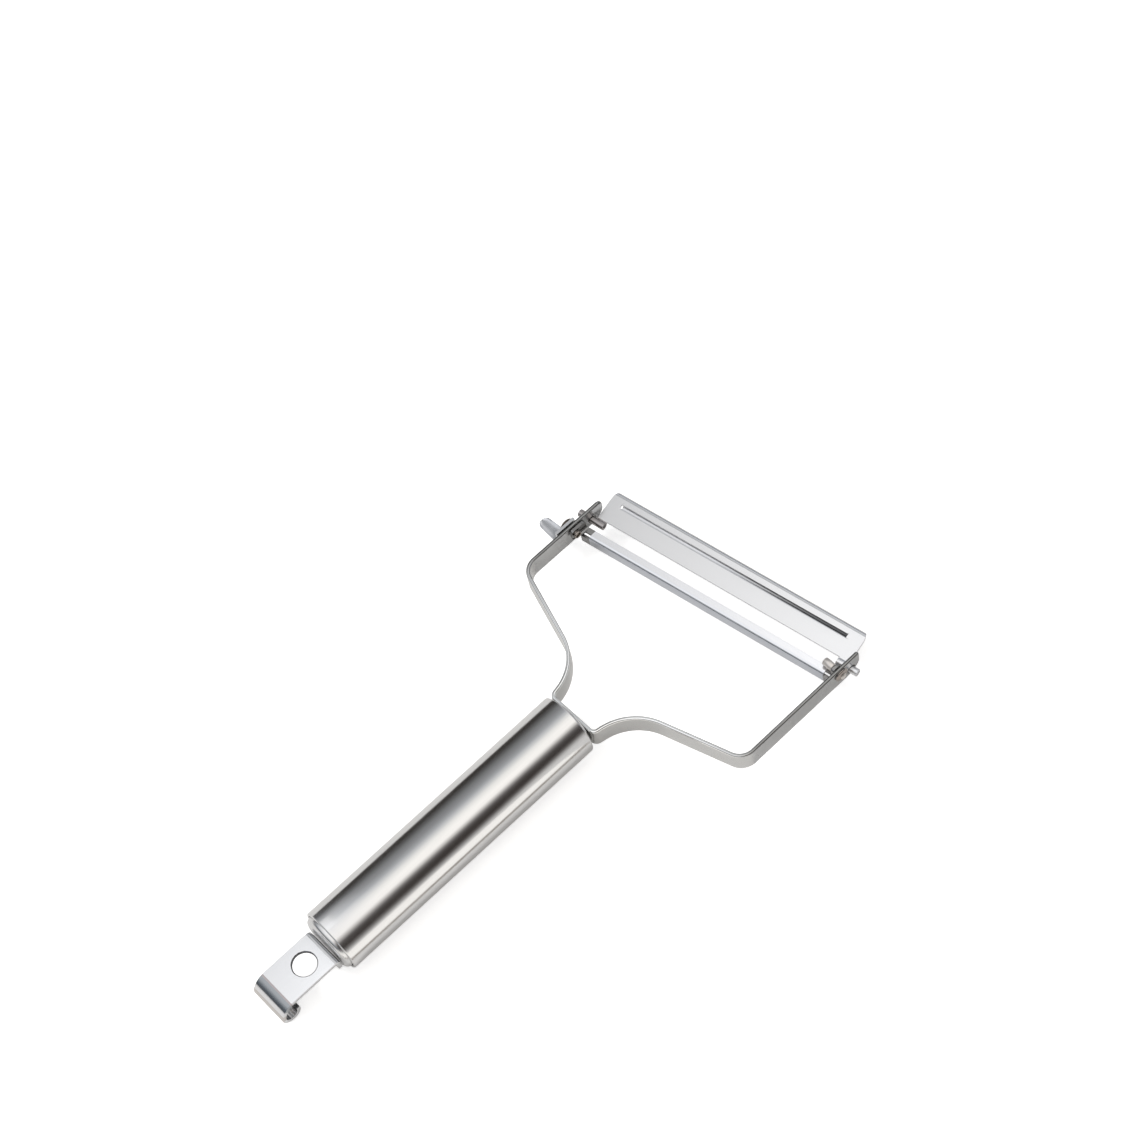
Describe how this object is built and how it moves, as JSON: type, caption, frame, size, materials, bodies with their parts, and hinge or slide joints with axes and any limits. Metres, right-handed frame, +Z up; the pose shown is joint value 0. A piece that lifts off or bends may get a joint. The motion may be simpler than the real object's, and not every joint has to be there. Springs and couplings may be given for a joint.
{
  "type": "wide peeler",
  "caption": "Wide peeler with a hollow round handle, a flat strip yoke, a slanted guard bar and a slotted blade that swivels on rolled tongues; a hooked tab hangs it up.",
  "frame": {"origin": "middle of the box around the whole peeler at rest, at the height of the handle's axis", "axes": "+X along the handle from the hanging tab to the blade, +Y to the left where the eye remover is, +Z up out of the yoke's flat side"},
  "size_m": [0.1854, 0.1006, 0.019],
  "materials": {
    "satin_steel": "fine satin brushing",
    "polished_steel": "bright polished sheet",
    "blade_steel": "smooth cool grey sheet with a ground edge",
    "rivet_steel": "bright turned steel, slightly warm"
  },
  "bodies": {
    "frame": {"handle_tube": "satin_steel", "head_cap": "satin_steel", "tail_cap": "satin_steel", "yoke": "satin_steel", "hanging_tab": "polished_steel", "guard_bar": "polished_steel", "left_rivet": "rivet_steel", "right_rivet": "rivet_steel", "left_collar": "rivet_steel", "right_collar": "rivet_steel", "eye_remover": "satin_steel"},
    "blade": {"blade_plate": "blade_steel"}
  },
  "joints": [
    {"name": "blade_swivel", "type": "hinge", "parent": "frame", "child": "blade", "pos_m": [0.0743, -0.00394, -0.001], "axis": [-0.1736, 0.9848, 0], "range_deg": [-35, 45]}
  ]
}
